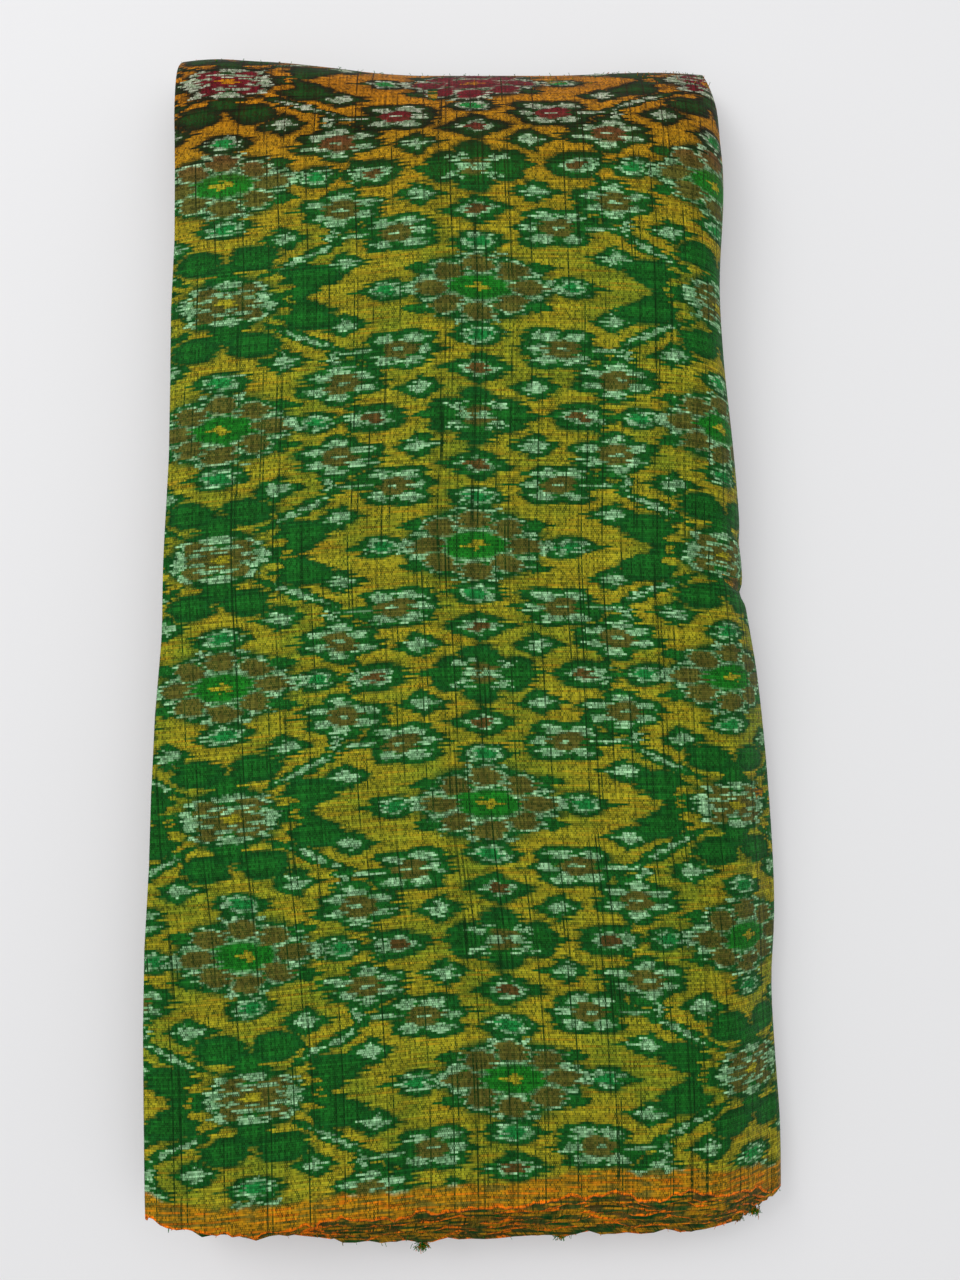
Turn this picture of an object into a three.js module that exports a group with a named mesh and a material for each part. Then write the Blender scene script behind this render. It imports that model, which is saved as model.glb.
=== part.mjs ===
import * as THREE from 'three';

// Folded bolt of slubby ikat silk, in millimetres, +Z up, its underside resting on z = 0.
// One length of cloth is folded back and forth across X into a stack of runs. That stack is then
// folded in half over its middle, at the far (+Y) end, so every run has an upper and a lower leg,
// the outer run wraps the whole bolt, and all selvedges lie together at the near (-Y) end.
// The outer run's cut end hangs at the right, out of sight from above.
// "along" is the distance towards the far end from the nearest selvedges of the inner runs.

const RUN_COUNT = 10;
const PITCH = 2.2;
const CLOTH_THICKNESS = 1.2;
const BOLT_HALF_WIDTH = 142;
const BOLT_HEIGHT = 44;
const FOLD_PLANE = BOLT_HEIGHT / 2;
const HALF_STACK = PITCH * (RUN_COUNT - 0.5) + CLOTH_THICKNESS / 2;

// Far end: the legs run straight to the shoulder, then fall in a slope to the tip of the fold,
// and turn under it. The slope is full at the left, hollow in the middle, rounder at the right.
const SHOULDER = 510;
const INNER_TIP = 541;
const OUTER_TIP = 569.5;
const OUTER_TIP_HEIGHT = 10;
const INNER_UNDERTURN = 1;
const OUTER_UNDERTURN = 15;
const LEFT_FULLNESS = 3;
const HOLLOW = { from: -140, to: -10, depth: 1.65 };
const SWELL = { from: 50, to: 120, height: 0.4 };

// Near end: how far each leg's outer run stops short of the inner ones, and where across the
// width the upper leg's setback swings from its left value to its right one.
const UPPER_SETBACK_LEFT = 11;
const UPPER_SETBACK_RIGHT = 27;
const SETBACK_SWING = { from: 0.15, to: 0.7 };
const LOWER_SETBACK = 13;

// Right side: the upper half of the stack curls over, sags, and hangs past the lower half.
const CURL_START = 0.9;
const CURL_ANGLE = THREE.MathUtils.degToRad(80);
const RIGHT_SAG = { from: 68, to: 143, depth: 14 };
const LEFT_SAG = { from: 118, to: 144, nearDepth: 4, farDepth: 4 };
const OVERHANG_DROP = 9;
const OVERHANG_REACH = 30;

// Half widths of the bolt at stations towards the far end. The upper half is notched by a
// crease on the right at 300 and narrows from there on.
const UPPER_SIDES = [
  { along: 0, left: 141, right: 150 },
  { along: 40, left: 143, right: 150.5 },
  { along: 75, left: 145, right: 148 },
  { along: 110, left: 146.2, right: 147.5 },
  { along: 140, left: 145.8, right: 149.5 },
  { along: 180, left: 144.8, right: 149.5 },
  { along: 220, left: 143.8, right: 147.5 },
  { along: 250, left: 143, right: 144 },
  { along: 300, left: 141.8, right: 137 },
  { along: 340, left: 141, right: 135 },
  { along: 375, left: 140.2, right: 132 },
  { along: 412, left: 140.6, right: 128 },
  { along: 447, left: 141.5, right: 125.5 },
  { along: 495, left: 140.5, right: 129.5 },
  { along: 530, left: 142, right: 131 },
  { along: 548, left: 143, right: 136 },
  { along: 570, left: 145, right: 143 },
];
const LOWER_SIDES = [
  { along: 0, left: 138, right: 109 },
  { along: 190, left: 140, right: 117 },
  { along: 380, left: 139, right: 119 },
  { along: 460, left: 140, right: 119 },
  { along: 500, left: 141, right: 126 },
  { along: 535, left: 142, right: 123 },
  { along: 570, left: 142, right: 120 },
];

// How far each side fold stands back from the outline, and how much further each run's
// selvedge reaches at the near end, from the innermost run out.
const RUNS = [
  { foldBack: 3.5, reach: 0 },
  { foldBack: 0.5, reach: -2.5 },
  { foldBack: 2.5, reach: 1.5 },
  { foldBack: 4, reach: -1 },
  { foldBack: 0, reach: 2 },
  { foldBack: 2, reach: -2 },
  { foldBack: 1, reach: 0.5 },
  { foldBack: 3, reach: 2.5 },
  { foldBack: 0, reach: -1.5 },
  { foldBack: 0.5, reach: 0 },
];

// Stations across one run, as fractions from its left fold to its right fold.
const RUN_STATIONS = [0, 0.07, 0.45, 0.78, CURL_START, 0.935, 0.968, 1];
const FOLD_ANGLES = [-45, 0, 45].map(THREE.MathUtils.degToRad);

// Stations along the upper leg, round the far fold and back along the lower leg. Over the slope
// the upper half's outline gives way to the lower half's.
const UPPER_STATIONS = [90, 190, 255, 300, 350, 420, SHOULDER];
const SLOPE_ANGLES = [80, 65, 48, 32, 15].map(THREE.MathUtils.degToRad);
const UNDERTURN_ANGLES = [0, -35, -65, -90].map(THREE.MathUtils.degToRad);
const LOWER_STATIONS = [440, 300, 160];
const OUTLINE_CHANGE = { from: 0.05, to: 0.8 };

const SILK_GOLD = 0x8f7a1e;

function smoothStep(value, from, to) {
  return THREE.MathUtils.smoothstep(value, from, to);
}

// Smooth curve through one column of a side table.
function sideCurve(rows, column) {
  const places = rows.map((row) => row.along);
  const values = rows.map((row) => row[column]);
  const curve = new THREE.CubicInterpolant(places, values, 1);
  return (along) => curve.evaluate(THREE.MathUtils.clamp(along, 0, places.at(-1)))[0];
}

const upperLeft = sideCurve(UPPER_SIDES, 'left');
const upperRight = sideCurve(UPPER_SIDES, 'right');
const lowerLeft = sideCurve(LOWER_SIDES, 'left');
const lowerRight = sideCurve(LOWER_SIDES, 'right');

// Where each point of the cloth's folded section lies: the run it is on, the fraction across
// the run, the distance out past the fold line, and the height in the half stack.
function foldedSection() {
  const points = [];
  for (let run = 0; run < RUN_COUNT; run += 1) {
    const height = PITCH * (run + 0.5);
    const toRight = run % 2 === 1;
    const stations = toRight ? RUN_STATIONS : [...RUN_STATIONS].reverse();
    const startBack = RUNS[Math.max(run - 1, 0)].foldBack;
    const endBack = RUNS[run].foldBack;
    const direction = toRight ? 1 : -1;
    for (const fraction of stations) {
      const travelled = toRight ? fraction : 1 - fraction;
      const back = THREE.MathUtils.lerp(startBack, endBack, travelled);
      points.push({ run, fraction, past: back * (1 - 2 * fraction), height, normal: [0, direction] });
    }
    if (run < RUN_COUNT - 1) {
      for (const angle of FOLD_ANGLES) {
        const out = Math.cos(angle);
        const up = Math.sin(angle);
        points.push({
          run: run + 0.5 + up / 2,
          fraction: toRight ? 1 : 0,
          past: direction * ((PITCH / 2) * out - endBack),
          height: height + PITCH / 2 + (PITCH / 2) * up,
          normal: [-out, -direction * up],
        });
      }
    }
  }
  return points;
}

// Near ends of the two legs, for a point at depth share 0 (inner) to 1 (outer).
function upperNearEnd(share, run, fraction) {
  const swing = smoothStep(fraction, SETBACK_SWING.from, SETBACK_SWING.to);
  const setback = THREE.MathUtils.lerp(UPPER_SETBACK_LEFT, UPPER_SETBACK_RIGHT, swing);
  return share * setback - runReach(run);
}

function lowerNearEnd(share, run) {
  return share * LOWER_SETBACK + runReach(run);
}

function runReach(run) {
  const inner = Math.floor(run);
  const outer = Math.min(inner + 1, RUN_COUNT - 1);
  return THREE.MathUtils.lerp(RUNS[inner].reach, RUNS[outer].reach, run - inner);
}

function slopeFullness(across) {
  const hollow = HOLLOW.depth * smoothStep(across, HOLLOW.from, HOLLOW.to);
  const swell = SWELL.height * smoothStep(across, SWELL.from, SWELL.to);
  return LEFT_FULLNESS - hollow + swell;
}

// The path that every layer follows round the far fold, as stations that give the distance
// along and the height for a depth share. Upper 1 is the upper leg, 0 the lower leg.
function pathStations() {
  const upperHeight = (share) => FOLD_PLANE * (1 + share);
  const lowerHeight = (share) => FOLD_PLANE * (1 - share);
  const upperEnd = (share, run, fraction) => {
    return { along: upperNearEnd(share, run, fraction), height: upperHeight(share) };
  };
  const lowerEnd = (share, run) => {
    return { along: lowerNearEnd(share, run), height: lowerHeight(share) };
  };
  const stations = [{ upper: 1, place: upperEnd }];
  for (const along of UPPER_STATIONS) {
    stations.push({ upper: 1, place: (share) => ({ along, height: upperHeight(share) }) });
  }
  for (const angle of SLOPE_ANGLES) {
    const upper = smoothStep(Math.sin(angle), OUTLINE_CHANGE.from, OUTLINE_CHANGE.to);
    const place = (share, run, fraction, across) => slopePoint(share, angle, across);
    stations.push({ upper, place });
  }
  for (const angle of UNDERTURN_ANGLES) {
    stations.push({ upper: 0, place: (share) => underturnPoint(share, angle) });
  }
  for (const along of LOWER_STATIONS) {
    stations.push({ upper: 0, place: (share) => ({ along, height: lowerHeight(share) }) });
  }
  stations.push({ upper: 0, place: lowerEnd });
  return stations;
}

function foldTip(share) {
  return {
    along: THREE.MathUtils.lerp(INNER_TIP, OUTER_TIP, share),
    height: THREE.MathUtils.lerp(FOLD_PLANE, OUTER_TIP_HEIGHT, share),
  };
}

function slopePoint(share, angle, across) {
  const tip = foldTip(share);
  const power = 2 / slopeFullness(across);
  const rise = FOLD_PLANE * (1 + share) - tip.height;
  return {
    along: SHOULDER + (tip.along - SHOULDER) * Math.cos(angle) ** power,
    height: tip.height + rise * Math.sin(angle) ** power,
  };
}

function underturnPoint(share, angle) {
  const tip = foldTip(share);
  const reach = THREE.MathUtils.lerp(INNER_UNDERTURN, OUTER_UNDERTURN, share);
  const drop = tip.height - FOLD_PLANE * (1 - share);
  return {
    along: tip.along - reach * (1 - Math.cos(angle)),
    height: tip.height + drop * Math.sin(angle),
  };
}

// Bends the flat stack into the bolt's real outline and returns the point in space.
function placeInBolt(section, height, past, station) {
  const share = height / HALF_STACK;
  const across = (2 * section.fraction - 1) * BOLT_HALF_WIDTH;
  const path = station.place(share, section.run, section.fraction, across);
  const flat = flatPlace(section.fraction, past, path);
  const curled = curledPlace(section.fraction, past, path);
  const x = THREE.MathUtils.lerp(flat.x, curled.x, station.upper);
  const z = THREE.MathUtils.lerp(flat.z, curled.z, station.upper);
  const lowered = z * (1 - sagDepth(x, path.along) / BOLT_HEIGHT);
  const hang = OVERHANG_DROP * station.upper
    * smoothStep(x, lowerRight(path.along), lowerRight(path.along) + OVERHANG_REACH);
  return new THREE.Vector3(x, path.along, lowered - hang);
}

function flatPlace(fraction, past, path) {
  const left = -lowerLeft(path.along);
  const right = lowerRight(path.along);
  return { x: THREE.MathUtils.lerp(left, right, fraction) + past, z: path.height };
}

function curledPlace(fraction, past, path) {
  const radius = Math.max(path.height - FOLD_PLANE, 0);
  const left = -upperLeft(path.along);
  const curlAxis = upperRight(path.along) - FOLD_PLANE;
  if (fraction <= CURL_START) {
    const x = THREE.MathUtils.lerp(left, curlAxis, fraction / CURL_START);
    return { x: x + past, z: path.height };
  }
  const angle = CURL_ANGLE * (fraction - CURL_START) / (1 - CURL_START);
  const rest = path.height - radius;
  return {
    x: curlAxis + radius * Math.sin(angle) + past * Math.cos(angle),
    z: rest + radius * Math.cos(angle) - past * Math.sin(angle),
  };
}

function sagDepth(x, along) {
  const rightShare = (x - RIGHT_SAG.from) / (RIGHT_SAG.to - RIGHT_SAG.from);
  const leftShare = (-x - LEFT_SAG.from) / (LEFT_SAG.to - LEFT_SAG.from);
  const right = THREE.MathUtils.clamp(rightShare, 0, 1);
  const left = THREE.MathUtils.clamp(leftShare, 0, 1);
  const leftDepth = THREE.MathUtils.lerp(LEFT_SAG.nearDepth, LEFT_SAG.farDepth, along / OUTER_TIP);
  return RIGHT_SAG.depth * right ** 2 + leftDepth * left ** 2;
}

// One closed solid: two faces of the cloth, its cut ends and its two selvedges.
function foldedCloth() {
  const section = foldedSection();
  const stations = pathStations();
  const vertices = [];
  for (const side of [-1, 1]) {
    for (const point of section) {
      const past = point.past + (side * CLOTH_THICKNESS / 2) * point.normal[0];
      const height = point.height + (side * CLOTH_THICKNESS / 2) * point.normal[1];
      for (const station of stations) {
        vertices.push(placeInBolt(point, height, past, station));
      }
    }
  }
  const columns = stations.length;
  const last = section.length - 1;
  const index = (side, row, column) => (side * section.length + row) * columns + column;
  const triangles = [];
  const addQuad = (a, b, c, d) => triangles.push(a, b, c, a, c, d);
  for (let row = 0; row < last; row += 1) {
    for (let column = 0; column < columns - 1; column += 1) {
      addQuad(index(0, row, column), index(0, row, column + 1),
        index(0, row + 1, column + 1), index(0, row + 1, column));
      addQuad(index(1, row, column), index(1, row + 1, column),
        index(1, row + 1, column + 1), index(1, row, column + 1));
    }
    addQuad(index(0, row, 0), index(0, row + 1, 0), index(1, row + 1, 0), index(1, row, 0));
    addQuad(index(0, row, columns - 1), index(1, row, columns - 1),
      index(1, row + 1, columns - 1), index(0, row + 1, columns - 1));
  }
  for (let column = 0; column < columns - 1; column += 1) {
    addQuad(index(0, 0, column), index(1, 0, column), index(1, 0, column + 1), index(0, 0, column + 1));
    addQuad(index(0, last, column), index(0, last, column + 1),
      index(1, last, column + 1), index(1, last, column));
  }
  const geometry = new THREE.BufferGeometry().setFromPoints(vertices);
  geometry.setIndex(triangles);
  geometry.computeBoundingBox();
  const centre = geometry.boundingBox.getCenter(new THREE.Vector3());
  geometry.translate(-centre.x, -centre.y, -geometry.boundingBox.min.z);
  geometry.computeVertexNormals();
  return geometry;
}

const silk = new THREE.MeshStandardMaterial({
  color: SILK_GOLD, roughness: 0.62, metalness: 0, side: THREE.DoubleSide,
});
const cloth = new THREE.Mesh(foldedCloth(), silk);
cloth.name = 'ikat_silk_cloth';

const bolt = new THREE.Group();
bolt.add(cloth);

export default bolt;
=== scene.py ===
"""Folded bolt of slubby ikat silk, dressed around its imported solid.

One length of cloth is folded back and forth across X into a stack of runs, and the stack is
folded in half over its middle at the far (+Y) end. So every run has an upper and a lower leg,
and all selvedges lie at the near (-Y) end. Sizes are millimetres until a mesh is made.
"""

import logging
import math
from collections.abc import Callable
from dataclasses import dataclass, field
from enum import Enum
from functools import partial, reduce

import bpy
import numpy as np
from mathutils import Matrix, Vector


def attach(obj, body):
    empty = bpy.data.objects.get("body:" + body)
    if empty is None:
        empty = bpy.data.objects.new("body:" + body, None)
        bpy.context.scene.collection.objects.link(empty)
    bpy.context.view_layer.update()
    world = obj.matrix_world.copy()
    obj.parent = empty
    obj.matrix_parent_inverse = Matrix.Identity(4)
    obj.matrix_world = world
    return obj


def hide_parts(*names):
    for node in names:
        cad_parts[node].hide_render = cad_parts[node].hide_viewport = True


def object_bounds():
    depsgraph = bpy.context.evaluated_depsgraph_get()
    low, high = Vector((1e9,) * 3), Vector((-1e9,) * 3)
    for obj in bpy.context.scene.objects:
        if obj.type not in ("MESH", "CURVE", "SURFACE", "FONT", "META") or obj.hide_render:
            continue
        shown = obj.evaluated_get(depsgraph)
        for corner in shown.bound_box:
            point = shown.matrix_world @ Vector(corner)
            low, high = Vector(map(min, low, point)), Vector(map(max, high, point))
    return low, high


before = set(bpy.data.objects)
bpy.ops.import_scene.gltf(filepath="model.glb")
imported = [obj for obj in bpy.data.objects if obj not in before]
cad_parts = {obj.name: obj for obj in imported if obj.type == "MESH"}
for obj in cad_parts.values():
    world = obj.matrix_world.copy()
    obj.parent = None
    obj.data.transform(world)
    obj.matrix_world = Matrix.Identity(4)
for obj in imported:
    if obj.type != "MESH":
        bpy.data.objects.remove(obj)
CAD_LOW, CAD_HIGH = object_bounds()
LOG = logging.getLogger("ikat_silk_bolt")

MM = 0.001
CLOTH_NODE = "ikat_silk_cloth"
BODY = "root"

# Numbers of the Mix node's sockets, by what it mixes
FACTOR, COLOUR_A, COLOUR_B, VECTOR_A, VECTOR_B, VECTOR_OUT = 0, 6, 7, 4, 5, 1
COLOUR = {"output": 2, "data_type": "RGBA"}
FLAT = {"output": "Fac", "noise_dimensions": "2D"}

Socket = bpy.types.NodeSocket
Place = tuple[float, float, float]


def smooth_step(value: np.ndarray, low: float, high: float) -> np.ndarray:
    """Eases from 0 at low to 1 at high.

    Args:
        value: Where to evaluate it.
        low: Where the rise starts.
        high: Where the rise ends.

    Returns:
        The eased share, from 0 to 1.
    """
    t = np.clip((value - low) / (high - low), 0.0, 1.0)
    return t * t * (3.0 - 2.0 * t)


def smooth_curve(places: list[float], values: list[float], at: np.ndarray) -> np.ndarray:
    """Runs a smooth curve through a short table.

    Args:
        places: Rising places of the table's rows.
        values: The value at each place.
        at: Where to evaluate the curve.

    Returns:
        The curve's values, held level outside the table.
    """
    x = np.asarray(places, float)
    y = np.asarray(values, float)
    slopes = np.gradient(y, x)
    i = np.clip(np.searchsorted(x, at) - 1, 0, len(x) - 2)
    step = x[i + 1] - x[i]
    t = np.clip((at - x[i]) / step, 0.0, 1.0)
    start = (1 + 2 * t) * (1 - t) ** 2 * y[i] + t * (1 - t) ** 2 * step * slopes[i]
    end = t * t * (3 - 2 * t) * y[i + 1] + t * t * (t - 1) * step * slopes[i + 1]
    return start + end


def linear_from_hex(colour: str) -> tuple[float, float, float, float]:
    """Turns an sRGB hex colour into linear red, green, blue and alpha.

    Args:
        colour: Six hex digits.

    Returns:
        Four linear values, with alpha 1.
    """
    channels = [int(colour[i : i + 2], 16) / 255 for i in (0, 2, 4)]
    linear = [c / 12.92 if c <= 0.04045 else ((c + 0.055) / 1.055) ** 2.4 for c in channels]
    return (linear[0], linear[1], linear[2], 1.0)


def add_node(
    tree: bpy.types.NodeTree,
    kind: str,
    inputs: tuple | dict,
    output: int | str = 0,
    **settings: object,
) -> Socket:
    """Adds a node with its settings, and fills or links its inputs.

    Args:
        tree: The node tree.
        kind: The node's type and, for maths, its operation after a dot.
        inputs: Values, dyes or sockets, in the node's order or by input number or name.
        output: Number or name of the output wanted.
        settings: The node's own settings.

    Returns:
        The output's socket, or the node's first input where it has no output.
    """
    kind, _, operation = kind.partition(".")
    node = tree.nodes.new(f"ShaderNode{kind}")
    if operation:
        node.operation = operation
    for name, value in settings.items():
        setattr(node, name, value)
    given = inputs.items() if isinstance(inputs, dict) else enumerate(inputs)
    for key, value in given:
        if isinstance(value, Socket):
            tree.links.new(value, node.inputs[key])
        else:
            plain = value.linear() if isinstance(value, Dye) else value
            node.inputs[key].default_value = plain
    return node.outputs[output] if node.outputs else node.inputs[0]


def new_material(name: str) -> bpy.types.Material:
    """Makes a material without nodes.

    Args:
        name: Its name.

    Returns:
        The material.
    """
    material = bpy.data.materials.new(name)
    material.use_nodes = True
    material.node_tree.nodes.clear()
    return material


def new_object(name: str, data: bpy.types.ID) -> bpy.types.Object:
    """Puts a new object in the scene.

    Args:
        name: Its name.
        data: Its mesh, light or camera.

    Returns:
        The object.
    """
    piece = bpy.data.objects.new(name, data)
    bpy.context.scene.collection.objects.link(piece)
    return piece


def dress(piece: bpy.types.Object) -> None:
    """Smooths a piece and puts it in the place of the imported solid.

    Args:
        piece: The piece.
    """
    piece.data.shade_smooth()
    piece.data.update()
    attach(piece, BODY)
    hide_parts(CLOTH_NODE)


class Dye(Enum):
    """Colours of the cloth as sRGB hex: its dyes, and the painted sheen and darkening of the far
    fold.
    """

    GOLD = "9c941e"
    OLIVE = "74861e"
    AMBER = "a87e14"
    # Painted sheen: the orange that the shot silk shows on the far fold at a grazing angle
    SHEEN_ORANGE = "b2700c"
    EDGE_ORANGE = "f87a08"
    EDGE_GOLD = "ae7c10"
    STREAK = "c8700c"
    DARK_GREEN = "0c481a"
    LEAF_GREEN = "17601c"
    # Painted darkening of the outlines on the far fold, with its sheen
    SHEEN_BLACK_GREEN = "17140a"
    BRIGHT_GREEN = "19701a"
    AQUA_GREEN = "1c7e38"
    MINT = "98c896"
    # Painted sheen: what the mint turns to on the far fold
    SHEEN_SILVER = "b2b6a0"
    BROWN = "5a5820"
    RUST = "5c461e"
    # Painted sheen: what the greens, browns and rust turn to on the far fold
    SHEEN_CRIMSON = "6c1420"
    WEFT = "0a300a"
    # Painted sheen: what the dark weft turns to on the far fold
    SHEEN_WEFT_BROWN = "281806"

    def linear(self) -> tuple[float, float, float, float]:
        """Returns the colour in linear light."""
        return linear_from_hex(self.value)


class Outline(Enum):
    """Outline of one patch of the pattern's chart."""

    OVAL = "oval"
    LOZENGE = "lozenge"


@dataclass(frozen=True)
class Patch:
    """One patch of the chart: its middle and half sizes in millimetres, and its outline."""

    x: float
    y: float
    half_width: float
    half_height: float
    outline: Outline = Outline.OVAL
    slant_deg: float = 0.0


LOZENGE = Outline.LOZENGE

# The chart of the repeat as drawn: x along the warp, y across it. The ring, the rosette
# and the star are charted from their own middles, and one quarter of each is enough.
RING_DARK = (
    Patch(0, 0, 33, 17.0), Patch(28.0, 9.6, 9.0, 3.2, LOZENGE), Patch(0, 22.4, 13.0, 5.6),
    Patch(0, 22.4, 17.0, 2.4, LOZENGE), Patch(44.0, 0, 11.0, 5.6),
    Patch(51.0, 0, 13.0, 2.0, LOZENGE),
)
RING_PETALS = (
    Patch(23.0, 0, 8.0, 3.8), Patch(15.4, 8.0, 7.2, 4.4), Patch(0, 12.0, 7.6, 4.4),
)
RING_EYE = (Patch(0, 0, 24.6, 10.4),)
RING_CROSS = (Patch(0, 0, 5.2, 1.2), Patch(0, 0, 2.0, 2.6))
RING_BUDS = (Patch(44.2, 0, 8.8, 4.8), Patch(0, 22.8, 10.4, 5.0))
RING_STREAKS = (
    Patch(8.8, 16.4, 3.0, 1.5), Patch(33.6, 1.6, 3.6, 2.4), Patch(25.6, 5.4, 5.0, 1.3),
)
ROSETTE_DARK = (
    Patch(0, 0, 12.5, 14.2), Patch(15.5, 0, 9.5, 8.4), Patch(24.0, 0, 8.0, 2.0, LOZENGE),
)
ROSETTE_BROWN = (Patch(0, 0, 7.8, 4.6),)
ROSETTE_BAR = (Patch(4.8, 0.8, 4.2, 1.1),)
ROSETTE_MINT = (
    Patch(9.6, 3.8, 4.2, 1.5), Patch(6.8, 6.0, 2.8, 1.0), Patch(13.4, 5.2, 2.4, 1.0),
)
STAR_DARK = (
    Patch(0, 0, 24.0, 13.5), Patch(0, 14.6, 10.0, 5.6), Patch(13.6, 21.6, 12.4, 6.6),
    Patch(34.0, 0, 12.0, 11.0), Patch(39.0, 9.2, 14.0, 6.6), Patch(47.0, 11.0, 9.0, 3.2, LOZENGE),
)
STAR_NOTCH = (
    Patch(51.5, 0, 14.0, 7.0, LOZENGE), Patch(27.0, 5.6, 4.6, 1.9), Patch(22.6, 11.4, 5.4, 1.8),
    Patch(13.0, 14.2, 6.0, 1.0), Patch(30.6, 1.2, 2.2, 1.0),
)
STAR_MINT = (
    Patch(0, 9.2, 10.0, 2.4), Patch(14.6, 7.4, 5.4, 2.8), Patch(18.4, 1.0, 5.0, 5.0),
    Patch(6.0, 2.8, 5.0, 1.0),
)
STAR_BROWN = (Patch(0, 0, 15.0, 5.6), Patch(9.6, 5.2, 6.0, 3.6))
STAR_BAR = (Patch(5.2, 5.2, 4.8, 1.0), Patch(10.8, 2.2, 3.0, 1.0), Patch(0, 3.2, 3.0, 0.7))
STAR_GOLD = (Patch(0, 0, 4.6, 2.1),)

# The sprigs between them: x from the ring and star column to the rosette column, y from the
# rosette row to the star row. Their dark outlines follow from their own mint and brown.
SPRIG_DARK = (
    Patch(56.0, 24.6, 8.0, 4.4), Patch(68.0, 30.4, 8.0, 3.6),
    Patch(38.0, 40.6, 17.0, 3.0, slant_deg=-23.0),
)
SPRIG_MINT = (
    Patch(55.5, 11.4, 6.0, 3.4), Patch(45.0, 14.6, 7.4, 2.2), Patch(66.4, 14.6, 7.2, 2.2),
    Patch(46.4, 20.6, 6.8, 2.4), Patch(65.0, 20.6, 7.0, 2.4), Patch(54.4, 23.8, 6.2, 3.0),
    Patch(50.8, 30.0, 2.6, 4.2), Patch(62.6, 31.6, 10.0, 1.1), Patch(75.4, 27.0, 7.0, 3.0),
    Patch(88.0, 26.8, 7.2, 3.0), Patch(94.4, 31.8, 5.4, 2.6), Patch(89.4, 37.4, 8.0, 3.0),
    Patch(75.6, 37.2, 6.4, 2.8), Patch(93.0, 13.6, 8.6, 4.6, LOZENGE),
    Patch(56.4, 45.6, 8.8, 4.2, LOZENGE), Patch(27.6, 30.2, 8.6, 4.6, LOZENGE),
    Patch(71.6, 0, 10.0, 4.6), Patch(62.6, 0, 2.6, 5.2), Patch(120.5, 22.6, 12.6, 5.6, LOZENGE),
    Patch(38.0, 40.6, 16.5, 1.5, slant_deg=-23.0),
)
SPRIG_SPIKES = (
    Patch(55.5, 17.3, 26.0, 2.0, LOZENGE), Patch(82.0, 32.0, 27.0, 2.0, LOZENGE),
    Patch(93.0, 13.6, 14.5, 1.8, LOZENGE), Patch(56.4, 45.6, 14.5, 1.8, LOZENGE),
    Patch(27.6, 30.2, 14.5, 1.8, LOZENGE), Patch(72.0, 0, 19.0, 1.8, LOZENGE),
    Patch(120.5, 22.6, 18.0, 1.8, LOZENGE),
)
SPRIG_BROWN = (Patch(55.5, 17.3, 7.8, 4.8), Patch(82.2, 32.0, 8.0, 4.4))
SPRIG_RUST = (Patch(71.4, 0, 4.4, 2.4), Patch(120.5, 22.6, 4.8, 2.5))
SPRIG_BAR = (Patch(55.0, 17.6, 3.2, 0.9), Patch(81.8, 32.2, 2.8, 0.8))


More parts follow.
